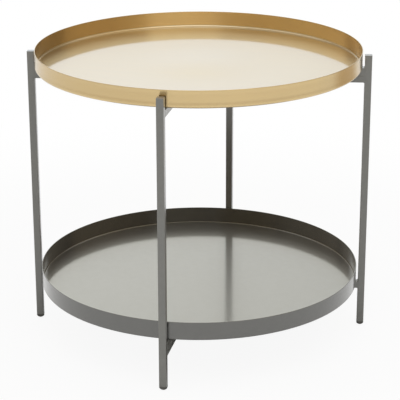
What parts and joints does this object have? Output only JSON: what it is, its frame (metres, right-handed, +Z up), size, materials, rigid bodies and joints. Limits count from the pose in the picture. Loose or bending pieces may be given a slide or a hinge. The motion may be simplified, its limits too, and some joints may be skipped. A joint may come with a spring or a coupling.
{
  "type": "round tray table",
  "caption": "Round tray table: a shallow brass-finish tray above a grey tray of the same width, both lifting off a slim square-tube frame that folds about its centre.",
  "frame": {"origin": "on the floor under the centre of the table, on the fold axis", "axes": "+Z up; +Y from the front leg to the back leg along the outer frame; the right leg is on the +X side"},
  "size_m": [0.5764, 0.581, 0.498],
  "materials": {
    "brass_finish": "brushed and lacquered",
    "grey_tray": "satin paint",
    "grey_frame": "fine powder coat",
    "black_glide": "moulded",
    "pad_rubber": "matt",
    "zinc_steel": "zinc plated",
    "nylon_spacer": "plain"
  },
  "bodies": {
    "outer_frame": {"outer_upper_bar": "grey_frame", "outer_lower_bar": "grey_frame", "outer_upper_sleeve": "zinc_steel", "outer_lower_sleeve": "zinc_steel", "front_leg": "grey_frame", "front_leg_cap": "grey_frame", "front_foot_glide": "black_glide", "front_upper_pad": "pad_rubber", "front_lower_pad": "pad_rubber", "front_lower_riser": "grey_frame", "back_leg": "grey_frame", "back_leg_cap": "grey_frame", "back_foot_glide": "black_glide", "back_upper_pad": "pad_rubber", "back_lower_pad": "pad_rubber", "back_lower_riser": "grey_frame", "upper_pivot_bolt": "zinc_steel", "upper_pivot_spacer": "nylon_spacer", "upper_pivot_washer": "zinc_steel", "upper_pivot_nut": "zinc_steel", "lower_pivot_bolt": "zinc_steel", "lower_pivot_spacer": "nylon_spacer", "lower_pivot_washer": "zinc_steel", "lower_pivot_nut": "zinc_steel"},
    "inner_frame": {"inner_upper_bar": "grey_frame", "inner_lower_bar": "grey_frame", "inner_upper_sleeve": "zinc_steel", "inner_lower_sleeve": "zinc_steel", "left_leg": "grey_frame", "left_leg_cap": "grey_frame", "left_foot_glide": "black_glide", "left_upper_pad": "pad_rubber", "left_lower_pad": "pad_rubber", "left_upper_riser": "grey_frame", "right_leg": "grey_frame", "right_leg_cap": "grey_frame", "right_foot_glide": "black_glide", "right_upper_pad": "pad_rubber", "right_lower_pad": "pad_rubber", "right_upper_riser": "grey_frame"},
    "top_tray": {"upper_tray": "brass_finish"},
    "bottom_tray": {"lower_tray": "grey_tray"}
  },
  "joints": [
    {"name": "frame_fold", "type": "hinge", "parent": "outer_frame", "child": "inner_frame", "pos_m": [0, 0, 0.25], "axis": [0, 0, 1], "range_deg": [-95, 78.6]},
    {"name": "upper_tray_lift", "type": "slide", "parent": "outer_frame", "child": "top_tray", "axis": [0, 0, 1], "range_m": [0, 0.2]},
    {"name": "lower_tray_lift", "type": "slide", "parent": "outer_frame", "child": "bottom_tray", "axis": [0, 0, 1], "range_m": [0, 0.32]}
  ]
}
